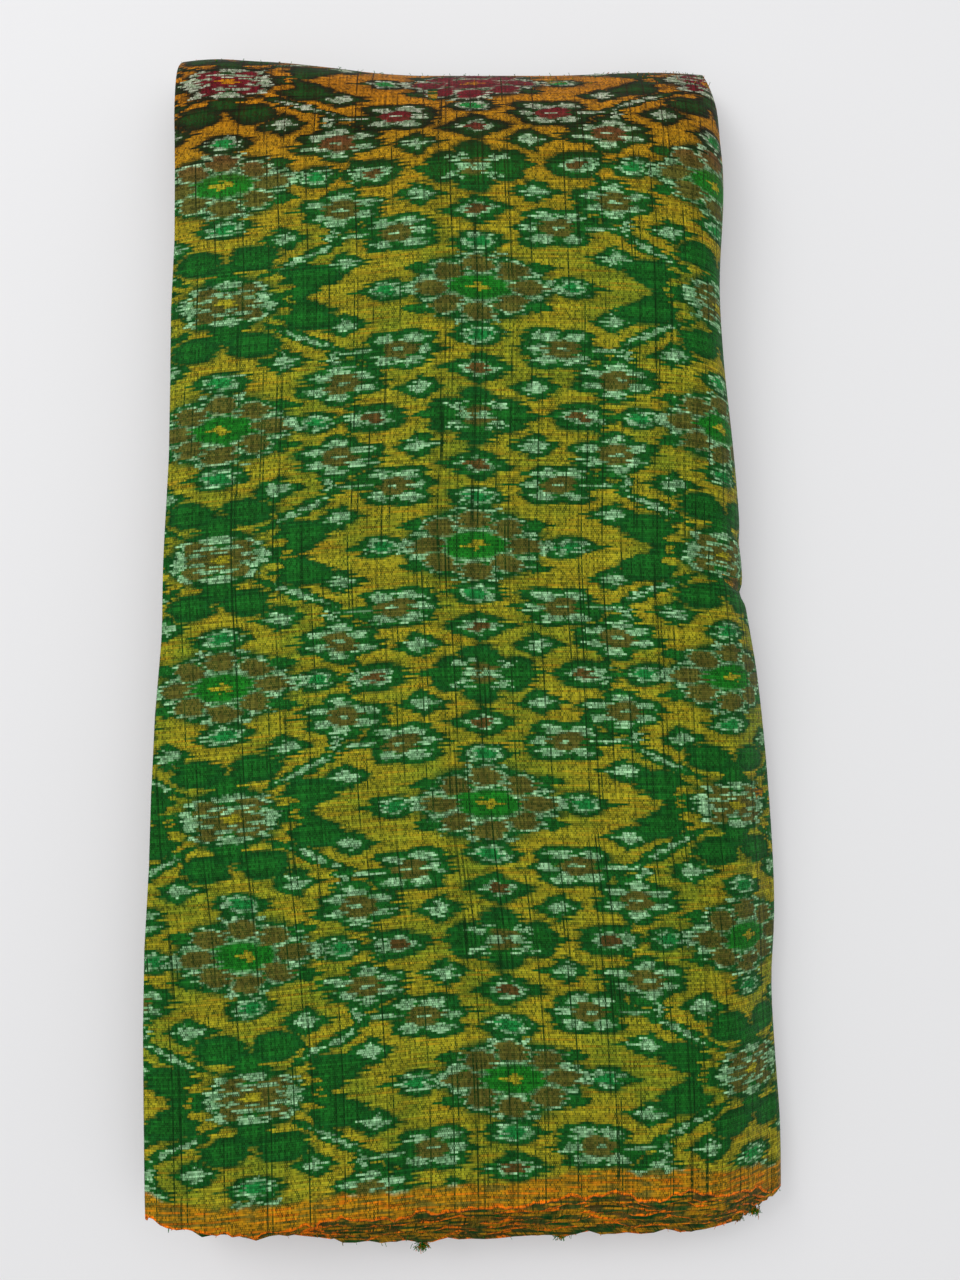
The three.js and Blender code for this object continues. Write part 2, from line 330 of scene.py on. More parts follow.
@dataclass
class IkatSilk:
    """Hand-loomed silk with its warp resist-dyed before weaving.

    The dye bleeds along the warp and no two bundles of threads line up again on the loom, which
    gives every motif its feathered ends. The dark weft shows as specks between the warp
    threads, and where it thickens into a slub it draws a dashed line across the cloth. Places
    on the cloth are in millimetres: along the warp, across it, and from the nearest selvedge.
    """

    name: str = "ikat_silk_handloomed"
    half_repeat_warp: float = 120.5
    half_repeat_weft: float = 60.75
    first_ring_row: float = 54.5
    border: float = 10.4
    selvedge: float = 2.0
    # Threads lie about 0.45 mm apart, too fine for the picture, so bundles of two are drawn.
    warp_bundle: float = 0.94
    weft_bundle: float = 0.86
    slub_width: float = 0.75
    slub_share: float = 0.16
    feather: float = 4.4
    comb: float = 7.5
    spread: float = 1.05
    outline: float = 1.46
    far_outline: float = 0.16
    petal_edge: float = 0.67
    iris: float = 0.62
    bud: float = 0.52
    bleed: float = 0.1
    # Places across the weft where the painted sheen of the far fold rises and falls: the orange
    # that the shot silk shows at a grazing angle.
    grazing_sheen_band: tuple[float, float, float, float] = (425.0, 545.0, 590.0, 710.0)
    # The outer run starts here; the runs inside it show only their selvedges.
    outer_run_start: float = -182.0
    relief: float = 0.25 * MM
    add: Callable[..., Socket] = field(init=False)
    warp: Socket = field(init=False)
    weft: Socket = field(init=False)
    edge: Socket = field(init=False)
    thread: Socket = field(init=False)
    band: Socket = field(init=False)

    def build(self) -> bpy.types.Material:
        """Makes the material from the cloth's own coordinates.

        Returns:
            The finished material.
        """
        material = new_material(self.name)
        self.add = partial(add_node, material.node_tree)
        cloth = self.add(
            "Attribute", (), "Vector", attribute_type="GEOMETRY", attribute_name="cloth"
        )
        self.warp, self.weft, self.edge = self.add("SeparateXYZ", (cloth,)).node.outputs
        self.thread = self.count(self.weft, self.warp_bundle)
        # Share of the painted sheen on the far fold
        self.band = self.orange_share()
        colour = self.paint_border(self.paint_motifs())
        over = self.interlacing()
        surface = self.surface(self.weave(colour, over), over)
        self.add("OutputMaterial", {"Surface": surface})
        return material

    def count(self, place: Socket, width: float) -> Socket:
        """Numbers the threads of one width that a place has passed."""
        passed = self.add("Math.DIVIDE", (place, width))
        return self.add("Math.FLOOR", (passed,))

    def lowest(self, values: list[Socket]) -> Socket:
        """Takes the lowest of several values."""
        return reduce(lambda low, v: self.add("Math.MINIMUM", (low, v)), values)

    def sizes(self, point: Socket, patches: tuple[Patch, ...]) -> list[Socket]:
        """Measures a point against patches of the chart.

        Args:
            point: The point in millimetres.
            patches: Patches in the same coordinates.

        Returns:
            For each patch a socket that is under 1 inside it.
        """
        sizes = []
        for patch in patches:
            local = point
            if patch.slant_deg:
                turn = {0: point, 1: (patch.x, patch.y, 0.0), 3: math.radians(-patch.slant_deg)}
                local = self.add("VectorRotate", turn, rotation_type="Z_AXIS")
            scale = (1 / patch.half_width, 1 / patch.half_height, 0.0)
            shift = (-patch.x * scale[0], -patch.y * scale[1], 0.0)
            local = self.add("VectorMath.MULTIPLY_ADD", (local, scale, shift))
            if patch.outline is Outline.LOZENGE:
                local = self.add("VectorMath.ABSOLUTE", (local,))
                size = self.add("VectorMath.DOT_PRODUCT", (local, (1, 1, 0)), 1)
            else:
                size = self.add("VectorMath.LENGTH", (local,), 1)
            sizes.append(size)
        return sizes

    def streaks(
        self, number: Socket, along: Socket, pace: tuple[float, float], detail: float = 1.0
    ) -> Socket:
        """Gives an unevenness that runs in streaks along threads.

        Args:
            number: Number of the thread.
            along: Place along it.
            pace: How fast it changes from thread to thread, and along them per millimetre.
            detail: Octaves of finer unevenness.

        Returns:
            Values around 0.5.
        """
        place = self.add("CombineXYZ", (number, along, 0.0))
        place = self.add("VectorMath.MULTIPLY", (place, (*pace, 0.0)))
        return self.add("TexNoise", {"Vector": place, "Scale": 1.0, "Detail": detail}, **FLAT)

    def dyed(self, colour: Dye | Socket, *layers: tuple[Socket, Dye | Socket]) -> Socket:
        """Lays dyes over a colour, one after another.

        Args:
            colour: A dye, or a colour's socket.
            layers: The share and the dye of each layer.

        Returns:
            The colour with the dyes on it.
        """
        for share, dye in layers:
            colour = self.add("Mix", {FACTOR: share, COLOUR_A: colour, COLOUR_B: dye}, **COLOUR)
        return colour

    def dye_over(self, ground: Socket, size: Socket, reach: float, dye: Dye | Socket) -> Socket:
        """Lays a dye over a ground wherever a measure is under its reach, bleeding at its edge.

        Args:
            ground: Colour so far.
            size: A measure that is under 1 inside the patches.
            reach: The measure at which the dye ends.
            dye: A dye, or a colour's socket.

        Returns:
            The colour with the dye on it.
        """
        bleed = self.bleed * reach
        mask = self.add("MapRange", (size, reach - bleed, reach + bleed, 1.0, 0.0))
        return self.dyed(ground, (mask, dye))

    def orange_share(self) -> Socket:
        """Gives the share of painted sheen, the orange of the shot silk at a grazing angle, full in
        a band along the cloth's middle.

        Returns:
            The share, from 0 to 1.
        """
        rise_from, rise_to, fall_from, fall_to = self.grazing_sheen_band
        ends = ((rise_from, rise_to, 0.0, 1.0), (fall_from, fall_to, 1.0, 0.0))
        shares = [
            self.add("MapRange", (self.weft, *end), interpolation_type="SMOOTHSTEP") for end in ends
        ]
        return self.lowest(shares)

    def feathered(self) -> tuple[Socket, Socket]:
        """Shifts each bundle of warp threads along its length, as it lands on the loom.

        Returns:
            The shifted place along the warp, and the place across it, stepped by bundles.
        """
        own = self.add("TexWhiteNoise", {"W": self.thread}, "Value", noise_dimensions="1D")
        comb = self.streaks(self.thread, self.warp, (0.83, 0.16))
        slow = {"Vector": self.add("CombineXYZ", (self.weft, self.warp, 0.0)), "Scale": 0.035}
        slow = self.add("TexNoise", {**slow, "Detail": 1.0}, "Color", noise_dimensions="2D")
        slow = (slow, (4.0, 2.4, 0.0), (-2.0, -1.2, 0.0))
        slow = self.add("VectorMath.MULTIPLY_ADD", slow)
        drift_along, drift_across, _ = self.add("SeparateXYZ", (slow,)).node.outputs
        shifted = self.add("Math.MULTIPLY_ADD", (own, self.feather, self.warp))
        shifted = self.add("Math.MULTIPLY_ADD", (comb, self.comb, shifted))
        shifted = self.add("Math.ADD", (shifted, drift_along))
        middle = 0.5 * (self.feather + self.comb)
        shifted = self.add("Math.SUBTRACT", (shifted, middle))
        stepped = (self.thread, self.warp_bundle, drift_across)
        return shifted, self.add("Math.MULTIPLY_ADD", stepped)

    def chart_points(self) -> tuple[Socket, Socket, Socket, Socket]:
        """Folds the whole cloth into one quarter of the repeat.

        Returns:
            The point in the sprigs' chart, and from the middle of its ring, rosette and star.
        """
        width, height = self.half_repeat_warp, self.half_repeat_weft
        shifted, stepped = self.feathered()
        x = self.add("Math.PINGPONG", (shifted, width))
        x = self.add("Math.SUBTRACT", (width, x))
        y = self.add("Math.SUBTRACT", (stepped, self.first_ring_row))
        y = self.add("Math.PINGPONG", (y, height))
        y = self.add("Math.SUBTRACT", (height, y))
        point = self.add("CombineXYZ", (x, y, 0.0))
        slope = (1 / width, 1 / height, 0.0)
        past = self.add("VectorMath.DOT_PRODUCT", (point, slope), 1)
        past = self.add("Math.GREATER_THAN", (past, 1.0))
        turned, rosette, star = (
            self.add("VectorMath.MULTIPLY_ADD", (point, signs, shift))
            for signs, shift in (
                ((-1, -1, 0), (width, height, 0)),
                ((-1, 1, 0), (width, 0, 0)),
                ((1, -1, 0), (0, height, 0)),
            )
        )
        ring = {FACTOR: past, VECTOR_A: point, VECTOR_B: turned}
        ring = self.add("Mix", ring, VECTOR_OUT, data_type="VECTOR")
        return point, ring, rosette, star

    def paint_motifs(self) -> Socket:
        """Dyes the ground and the motifs, and paints the sheen of the far fold on them.

        Returns:
            The dyed colour.
        """
        point, ring, rosette, star = self.chart_points()
        # In the band of painted sheen on the far fold some colours are painted as the silk shows
        # them at a grazing angle, and the outlines are painted wider and darker, to near black.
        sheen_tint = self.add("MapRange", (self.band, 0.45, 0.85, 0.0, 1.0))
        sheen_darkening = self.add("MapRange", (self.band, 0.3, 0.72, 0.0, 1.0))
        pairs = (
            (Dye.MINT, Dye.SHEEN_SILVER),
            (Dye.BRIGHT_GREEN, Dye.SHEEN_CRIMSON),
            (Dye.BROWN, Dye.SHEEN_CRIMSON),
            (Dye.RUST, Dye.SHEEN_CRIMSON),
            (Dye.GOLD, Dye.SHEEN_ORANGE),
        )
        mint_and_sheen, iris_and_sheen, brown_and_sheen, rust_and_sheen, gold_and_sheen = (
            self.dyed(usual, (sheen_tint, far)) for usual, far in pairs
        )

        petals = self.lowest(self.sizes(ring, RING_PETALS))
        sprigs = self.lowest(self.sizes(point, SPRIG_MINT))
        sprig_brown = self.lowest(self.sizes(point, SPRIG_BROWN))
        notch = self.lowest(self.sizes(star, STAR_NOTCH))
        notch = self.add("Math.SUBTRACT", (2.0, notch))
        star_dark = self.lowest(self.sizes(star, STAR_DARK))
        star_dark = self.add("Math.MAXIMUM", (star_dark, notch))
        outline = self.add("Math.MULTIPLY_ADD", (sheen_darkening, self.far_outline, self.outline))
        outlined = self.lowest([petals, sprigs, sprig_brown])
        outlined = self.add("Math.DIVIDE", (outlined, outline))
        dark = [star_dark, outlined, *self.sizes(ring, RING_DARK)]
        dark += self.sizes(rosette, ROSETTE_DARK)
        dark += self.sizes(point, SPRIG_DARK + SPRIG_SPIKES)
        dark = self.add("Math.DIVIDE", (self.lowest(dark), self.spread))
        outer = self.add("MapRange", (dark, 0.5, 0.95, 0.0, 1.0))
        # The outlines' painted darkening on the far fold, with its sheen
        black = self.add("Math.MULTIPLY_ADD", (outer, 0.35, 0.65))
        black = self.add("Math.MULTIPLY", (black, sheen_darkening))
        leaf = self.dyed(Dye.LEAF_GREEN, (outer, Dye.DARK_GREEN), (black, Dye.SHEEN_BLACK_GREEN))

        eye = self.lowest(self.sizes(ring, RING_EYE))
        buds = self.lowest(self.sizes(ring, RING_BUDS))
        mint = [self.add("Math.MULTIPLY", (petals, self.petal_edge)), eye, buds, sprigs]
        mint += self.sizes(ring, RING_STREAKS) + self.sizes(rosette, ROSETTE_MINT)
        mint += self.sizes(star, STAR_MINT)
        broken = self.streaks(self.thread, self.warp, (0.9, 0.2), 2.0)
        ragged = self.add("Math.MULTIPLY_ADD", (broken, 1.3, 0.7))
        mint = self.add("Math.MULTIPLY", (self.lowest(mint), ragged))
        paler = self.add("MapRange", (broken, 0.36, 0.6, 1.0, 0.42))
        pale = self.dyed(Dye.LEAF_GREEN, (paler, mint_and_sheen))

        brown = [petals, sprig_brown, *self.sizes(rosette, ROSETTE_BROWN)]
        brown += self.sizes(star, STAR_BROWN)
        bars = self.sizes(point, SPRIG_BAR) + self.sizes(star, STAR_BAR)
        bars += self.sizes(rosette, ROSETTE_BAR)
        gold = self.sizes(ring, RING_CROSS) + self.sizes(star, STAR_GOLD)
        colour = self.ground()
        for size, reach, dye in (
            (dark, 1.0, leaf),
            (mint, 1.0, pale),
            (eye, self.iris, iris_and_sheen),
            (buds, self.bud, Dye.AQUA_GREEN),
            (self.lowest(brown), 1.0, brown_and_sheen),
            (self.lowest(self.sizes(point, SPRIG_RUST)), 1.0, rust_and_sheen),
            (self.lowest(bars), 1.0, pale),
            (self.lowest(gold), 1.0, gold_and_sheen),
        ):
            colour = self.dye_over(colour, size, reach, dye)
        return colour

    def ground(self) -> Socket:
        """Dyes the ground, old gold that wanders between olive and amber, and paints the orange
        sheen of the far fold on it.

        Returns:
            The ground's colour.
        """
        place = self.add("CombineXYZ", (self.warp, self.weft, 0.0))
        cloud = self.add("TexNoise", {"Vector": place, "Scale": 0.03, "Detail": 2.0}, **FLAT)
        streak = self.streaks(self.thread, self.warp, (0.9, 0.05))
        olive = self.add("MapRange", (cloud, 0.42, 0.66, 0.0, 0.8))
        amber = self.add("MapRange", (streak, 0.52, 0.78, 0.0, 0.65))
        # The orange laid over the ground in the band is painted sheen: the colour of the shot silk
        # at a grazing angle on the far fold.
        layers = ((olive, Dye.OLIVE), (amber, Dye.AMBER), (self.band, Dye.SHEEN_ORANGE))
        return self.dyed(Dye.GOLD, *layers)

    def paint_border(self, colour: Socket) -> Socket:
        """Dyes the plain border, which cuts the motifs short, and the selvedge itself, and darkens
        the inner runs' edges with painted shade and their weft loops.

        Args:
            colour: Colour so far.

        Returns:
            The colour with its border.
        """
        depth = self.add("Math.MULTIPLY", (self.weft, 0.35))
        depth = self.add("Math.MULTIPLY_ADD", (self.edge, 0.65, depth))
        depth = self.add("Math.MINIMUM", (depth, self.edge))
        line = self.streaks(self.thread, self.warp, (0.9, 0.06))
        orange = self.add("MapRange", (line, 0.55, 0.68, 0.0, 0.9))
        brown = self.add("MapRange", (line, 0.46, 0.36, 0.0, 0.8))
        border = self.dyed(Dye.EDGE_GOLD, (orange, Dye.STREAK), (brown, Dye.BROWN))
        colour = self.dye_over(colour, depth, self.border, border)

        # The runs inside the outer one show only their edges, which are painted darker: partly
        # painted shade between the stacked layers, partly the dark green weft that loops round at
        # the selvedge. Where they are greener, their orange selvedge line is narrower.
        inner = self.add("Math.LESS_THAN", (self.warp, self.outer_run_start))
        patchy = {"W": self.warp, "Scale": 0.045}
        patchy = self.add("TexNoise", patchy, "Fac", noise_dimensions="1D")
        green = self.add("MapRange", (patchy, 0.35, 0.65, 0.0, 1.0))
        golden = self.add("MapRange", (line, 0.46, 0.6, 0.0, 0.9))
        under = self.dyed(Dye.RUST, (green, Dye.DARK_GREEN), (golden, Dye.EDGE_GOLD))
        colour = self.dyed(colour, (inner, under))

        place = self.add("CombineXYZ", (self.warp, self.edge, 0.0))
        ragged = self.add("TexNoise", {"Vector": place, "Scale": 0.35, "Detail": 3.0}, **FLAT)
        narrower = self.add("Math.MULTIPLY", (inner, green))
        near = self.add("Math.MULTIPLY_ADD", (ragged, 2.4, self.edge))
        near = self.add("Math.MULTIPLY_ADD", (narrower, 1.7, near))
        return self.dye_over(colour, near, self.selvedge, Dye.EDGE_ORANGE)

    def interlacing(self) -> Socket:
        """Gives the plain weave, 1 where the warp lies over the weft and 0 where it's under.

        Returns:
            The share of warp on top.
        """
        brick = (self.thread, 0.5 * self.weft_bundle, self.warp)
        brick = self.add("Math.MULTIPLY_ADD", brick)
        along = self.add("Math.MULTIPLY", (brick, math.tau / self.weft_bundle))
        along = self.add("Math.SINE", (along,))
        across = self.add("Math.MULTIPLY", (self.weft, math.tau / self.warp_bundle))
        across = self.add("Math.COSINE", (across,))
        both = self.add("Math.MULTIPLY_ADD", (across, -0.7, along))
        return self.add("Math.MULTIPLY_ADD", (both, 0.294, 0.5))

    def slubs(self) -> Socket:
        """Marks the weft's slubs, short lengths of thick thread across the cloth.

        Returns:
            How much each slub shows, from 0 to 1.
        """
        pick = self.count(self.warp, self.slub_width)
        own = self.add("TexWhiteNoise", {"W": pick}, "Value", noise_dimensions="1D")
        slub = self.add("Math.LESS_THAN", (own, self.slub_share))
        length = self.streaks(pick, self.weft, (7.31, 0.03))
        length = self.add("MapRange", (length, 0.48, 0.62, 0.0, 0.95))
        return self.add("Math.MULTIPLY", (slub, length))

    def weave(self, colour: Socket, over: Socket) -> Socket:
        """Lets the dark weft show between the warp threads, and draws its slubs.

        Args:
            colour: The warp's colour.
            over: Share of warp on top.

        Returns:
            The woven colour.
        """
        pick = self.count(self.warp, self.weft_bundle)
        cell = self.add("CombineXYZ", (self.thread, pick, 0.0))
        cell = self.add("TexWhiteNoise", {"Vector": cell}, "Value", noise_dimensions="2D")
        dashed = self.add("MapRange", (cell, 0.1, 0.5, 0.25, 1.0))
        slub = self.add("Math.MULTIPLY", (self.slubs(), dashed))
        speck = self.add("Math.MULTIPLY_ADD", (over, 0.9, cell))
        speck = self.add("MapRange", (speck, 0.3, 1.1, 0.95, 0.0))
        shown = self.add("Math.MAXIMUM", (speck, slub))
        # On the far fold the weft specks are painted brown, with the painted sheen there.
        weft = self.dyed(Dye.WEFT, (self.band, Dye.SHEEN_WEFT_BROWN))
        colour = self.dyed(colour, (shown, weft))
        shades = []
        for number, wider, least in ((self.thread, 0.5, 0.77), (pick, 0.44, 0.76)):
            own = self.add("TexWhiteNoise", {"W": number}, "Value", noise_dimensions="1D")
            shades.append(self.add("Math.MULTIPLY_ADD", (own, wider, least)))
        shade = self.add("Math.MULTIPLY", tuple(shades))
        return self.add("VectorMath.SCALE", {0: colour, 3: shade})

    def surface(self, colour: Socket, over: Socket) -> Socket:
        """Makes the silk's sheen and the relief of its threads.

        Args:
            colour: The woven colour.
            over: Share of warp on top.

        Returns:
            The surface shader.
        """
        uneven = self.streaks(self.thread, self.warp, (0.7, 0.06))
        height = self.add("Math.MULTIPLY_ADD", (uneven, 1.2, over))
        relief = {"Strength": 0.35, "Distance": self.relief, "Height": height}
        inputs = {
            "Base Color": colour,
            "Roughness": self.add("MapRange", (uneven, 0.3, 0.7, 0.5, 0.68)),
            "Normal": self.add("Bump", relief),
            "IOR": 1.5,
            "Specular IOR Level": 0.05,
            "Sheen Weight": 0.02,
            "Sheen Roughness": 0.4,
        }
        return self.add("BsdfPrincipled", inputs)


# Half widths of the bolt at stations towards the far end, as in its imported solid.
UPPER_ALONG = [
    0, 40, 75, 110, 140, 180, 220, 250, 300, 340, 375, 412, 447, 495, 530, 548, 570
]
UPPER_LEFT = [
    141, 143, 145, 146.2, 145.8, 144.8, 143.8, 143, 141.8, 141, 140.2, 140.6, 141.5, 140.5, 142,
    143, 145
]
UPPER_RIGHT = [
    150, 150.5, 148, 147.5, 149.5, 149.5, 147.5, 144, 137, 135, 132, 128, 125.5, 129.5, 131,
    136, 143
]
LOWER_ALONG = [0, 190, 380, 460, 500, 535, 570]
LOWER_LEFT = [138, 140, 139, 140, 141, 142, 142]
LOWER_RIGHT = [109, 117, 119, 119, 126, 123, 120]

# Angles round a side fold, and places along a leg where every run is fine
FOLD_ANGLES = np.radians([-54, -27, 0, 27, 54])
NEAR_STATIONS = (0.0, 0.0018, 0.0045, 0.009, 0.016, 0.032, 0.06)

# The outer layer's selvedge on top: place across the bolt, and how far it stops short of the
# nearest selvedge below it.
SELVEDGE_ACROSS = [-141, -115, -80, -62, -36, -5, 20, 45, 70, 83, 95, 111, 128, 143]
SELVEDGE_SHORT = [15.5, 11, 11.3, 16, 17, 20.5, 22, 26, 27.5, 24, 27.7, 24.7, 22, 16]

# How much further the innermost selvedges reach, and the runs whose selvedges lie together in
# one leaf, as the number of the run in the middle of each run's leaf.
REACH_ACROSS = [-141, -110, -82, -62, -5, 40, 90, 145]
INNER_REACH = [-7.0, -5.0, -1.0, 2.5, 2.8, 1.0, 0.0, -1.0]
LEAVES = [1, 1, 1, 4.5, 4.5, 4.5, 4.5, 8, 8, 8, 11.5, 11.5, 11.5, 11.5, 14.5, 14.5, 17, 17, 17, 19]

# The cloth isn't laid quite square: the pattern's middle axis wanders across the bolt on its way
# along it, the rows slip a little, and they climb from the left side to the middle.
AXIS_ALONG = [0, 76, 132, 192, 252, 312, 374, 436, 495, 560]
AXIS_ACROSS = [22.5, 21.0, 16.8, 10.2, 7.0, 3.8, 4.8, 6.0, 4.0, 2.6]
SLIP_ALONG = [0, 75, 197, 260, 318, 380, 440, 560]
SLIP = [0.0, 0.0, 0.0, 1.6, 3.0, 1.6, 0.0, 0.0]
FAR_ALONG = [0, 470, 520, 545, 570]
FAR_SLIP = [0.0, 0.0, 3.0, 7.0, 10.0]
ROW_ACROSS = [-141, -115, -55, 5, 20, 145]
ROW_ALONG = [9.2, 11.3, 16.6, 21.7, 21.9, 20.7]


@dataclass(frozen=True)
class Ripple:
    """Sum of smooth waves with a seeded start, for edges and surfaces that aren't quite even."""

    height: float
    lengths: tuple[float, ...]
    seed: int

    def at(self, place: np.ndarray, shift: np.ndarray | float = 0.0) -> np.ndarray:
        """Evaluates the ripple.

        Args:
            place: Distance along it.
            shift: Turns the waves on by this many radians.

        Returns:
            Heights, about within plus and minus the ripple's height.
        """
        generator = np.random.default_rng(self.seed)
        total = np.zeros(np.broadcast(place, shift).shape)
        for length in self.lengths:
            start = generator.uniform(0, 2 * math.pi)
            pace = generator.uniform(0.7, 1.4)
            total = total + np.sin(2 * math.pi * place / length + start + pace * shift)
        return total * self.height / len(self.lengths)


@dataclass(frozen=True)
class Crease:
    """One soft trough, deepest at its start, as places across and along the bolt."""

    start: tuple[float, float]
    end: tuple[float, float]
    half_width: float
    depth: float

    def at(self, x: np.ndarray, along: np.ndarray) -> np.ndarray:
        """Evaluates the trough.

        Args:
            x: Place across the bolt.
            along: Place along the bolt.

        Returns:
            Its depths.
        """
        step_x, step_y = self.end[0] - self.start[0], self.end[1] - self.start[1]
        off_x, off_y = x - self.start[0], along - self.start[1]
        t = np.clip((off_x * step_x + off_y * step_y) / (step_x**2 + step_y**2), 0, 1)
        away = np.hypot(off_x - t * step_x, off_y - t * step_y) / self.half_width
        return self.depth * (1 - t * t) * np.exp(-(away**2))


@dataclass(frozen=True)
class Section:
    """Rows of points across the folded cloth, from the innermost cut end to the outer one."""

    run: np.ndarray
    fraction: np.ndarray
    past: np.ndarray
    height: np.ndarray
    normal_past: np.ndarray
    normal_height: np.ndarray
    kept: np.ndarray
    outer: np.ndarray


@dataclass
class FoldedBolt:
    """The cloth: a stack of runs, folded in half, curled over at its right side."""

    runs: int = 20
    pitch: float = 1.1
    thickness: float = 0.7
    fold_plane: float = 22.0
    height: float = 44.0
    half_width: float = 142.0
    shoulder: float = 510.0
    inner_tip: float = 541.0
    outer_tip: float = 569.5
    outer_tip_height: float = 10.0
    inner_underturn: float = 1.0
    outer_underturn: float = 15.0
    left_fullness: float = 3.0
    hollow: tuple[float, float, float] = (-140.0, -10.0, 1.65)
    swell: tuple[float, float, float] = (50.0, 120.0, 0.4)
    lower_setback: float = 13.0
    curl_start: float = 0.9
    curl_angle_deg: float = 80.0
    right_sag: tuple[float, float, float] = (68.0, 143.0, 14.0)
    left_sag: tuple[float, float, float, float] = (118.0, 144.0, 4.0, 4.0)
    overhang: tuple[float, float] = (9.0, 30.0)
    creases: tuple[Crease, ...] = (
        Crease((139.0, 297.0), (106.0, 312.0), 3.6, 3.0),
        Crease((141.0, 320.0), (118.0, 333.0), 5.0, 1.0),
    )
    creased: tuple[float, float] = (0.52, 0.66)
    solid_middle_x: float = -1.401
    flat: tuple[float, float] = (1.12, 5.8)
    most_back: float = 3.6
    back_seed: int = 31
    reach_seed: int = 7
    leaf_packing: float = 0.3
    # Fineness: fractions across the level part and the curl of an inner and of the outer run,
    # those that hidden parts keep, stations along the leg, its creases, the slope, the underturn
    # and the lower leg, and bands at the near ends, where every run is fine.
    inner_fractions: tuple[int, int] = (46, 8)
    outer_fractions: tuple[int, int] = (84, 20)
    kept_fractions: tuple[float, ...] = (0.0, 0.1, 0.2, 0.3, 0.4, 0.5, 0.6, 0.8)
    leg_stations: int = 54
    creased_stations: int = 22
    slope_stations: int = 22
    under_stations: int = 9
    lower_stations: int = 32
    near_bands: int = 5
    kept_every: int = 4
    section: Section = field(init=False)
    kind: np.ndarray = field(init=False)
    place: np.ndarray = field(init=False)
    kept: np.ndarray = field(init=False)

    def __post_init__(self) -> None:
        """Lays out the rows and the stations."""
        self.section = self.lay_rows()
        self.kind, self.place, self.kept = self.lay_stations()

    def build(self, silk: bpy.types.Material, fibres: bpy.types.Object) -> bpy.types.Object:
        """Builds the folded cloth and puts it in its solid's place.

        Args:
            silk: The cloth's material.
            fibres: The loose fibres on it; not used.

        Returns:
            The cloth.
        """
        layers = [self.placed(side) for side in (-1, 1)]
        piece = self.mesh_object(layers, self.faces(), self.cloth_coordinates())
        piece.data.materials.append(silk)
        dress(piece)
        return piece

    def depth_share(self, height: np.ndarray) -> np.ndarray:
        """Turns heights in the unfolded stack into shares, 0 inside to 1 outside."""
        return height / (self.pitch * (self.runs - 0.5) + self.thickness / 2)

    def loose_places(self) -> tuple[np.ndarray, np.ndarray]:
        """Gives where fibres can stand off the cloth.

        Returns:
            Points on the near selvedges and points along the far fold.
        """
        points = self.placed(0)
        near = np.concatenate([points[:, 0], points[:, -1]])
        brow = (self.kind == 1) & (self.place > 0.12) & (self.place < 0.7)
        fold = points[self.section.outer][:, brow].reshape(-1, 3)
        return near, fold

    def lay_rows(self) -> Section:
        """Lays out the rows of points across the cloth, run by run and fold by fold.

        Returns:
            The rows.
        """
        generator = np.random.default_rng(self.back_seed)
        backs = generator.uniform(0.0, self.most_back, self.runs)
        backs[-2:] = (0.4, 0.0)
        bend = self.curl_start
        inner, outer = (
            np.unique(np.round([*np.linspace(0, bend, level), *np.linspace(bend, 1, curl)], 5))
            for level, curl in (self.inner_fractions, self.outer_fractions)
        )
        inner_kept = {*self.kept_fractions, *inner[inner >= bend].tolist()}
        rows = []
        for run in range(self.runs):
            to_right = run % 2 == 1
            direction = 1 if to_right else -1
            last = run == self.runs - 1
            fractions = outer if last else inner
            height = self.pitch * (run + 0.5)
            start, end = backs[max(run - 1, 0)], backs[run]
            for fraction in fractions if to_right else fractions[::-1]:
                travelled = fraction if to_right else 1 - fraction
                back = start + (end - start) * travelled
                kept = last or float(fraction) in inner_kept
                past = back * (1 - 2 * fraction)
                rows.append((run, fraction, past, height, 0, direction, kept, last))
            if last:
                break
            half = self.pitch / 2
            for step, angle in enumerate(FOLD_ANGLES):
                out, up = math.cos(angle), math.sin(angle)
                past = direction * (half * out - end)
                fraction = 1.0 if to_right else 0.0
                row = (run + 0.5 + up / 2, fraction, past, height + half + half * up)
                rows.append((*row, -out, -direction * up, step % 2 == 0, False))
        columns = np.array(rows, float).T
        return Section(*columns[:6], columns[6].astype(bool), columns[7].astype(bool))

    def lay_stations(self) -> tuple[np.ndarray, np.ndarray, np.ndarray]:
        """Lays out the stations along the path from the upper near end to the lower one.

        Returns:
            Each station's kind (0 upper leg, 1 slope, 2 underturn, 3 lower leg), its place on
            that stretch, and whether the inner runs keep it.
        """
        *near, start = NEAR_STATIONS
        creased = np.linspace(*self.creased, self.creased_stations)
        leg = [*near, *np.linspace(start, 1.0, self.leg_stations), *creased]
        leg = np.unique(np.round(leg, 5))
        slope = np.radians(np.linspace(90, 0, self.slope_stations)[1:])
        under = np.radians(np.linspace(0, -90, self.under_stations)[1:])
        lower = [*np.linspace(1.0, start, self.lower_stations)[1:], *near[::-1]]
        kind = np.repeat([0, 1, 2, 3], [len(leg), len(slope), len(under), len(lower)])
        place = np.concatenate([leg, slope, under, lower])
        count = len(place)
        kept = np.arange(count) % self.kept_every == 0
        kept[: self.near_bands + 1] = True
        kept[count - self.near_bands - 1 :] = True
        crossed = (kind == 0) & (place >= self.creased[0]) & (place <= self.creased[1])
        kept[np.flatnonzero(crossed)[::2]] = True
        first = len(leg) - 1
        kept[first : first + len(slope) + len(under) : 2] = True
        return kind, place, kept

    def across(self, fraction: np.ndarray) -> np.ndarray:
        """Turns fractions across a run into places across the upper near end.

        Args:
            fraction: Fractions, 0 at the left side and 1 at the right one.

        Returns:
            The places.
        """
        curl = np.clip((fraction - self.curl_start) / (1 - self.curl_start), 0, 1)
        angle = np.radians(self.curl_angle_deg) * curl
        level = UPPER_RIGHT[0] - self.fold_plane
        flat = (level + UPPER_LEFT[0]) * np.minimum(fraction / self.curl_start, 1)
        return -UPPER_LEFT[0] + flat + self.fold_plane * np.sin(angle)

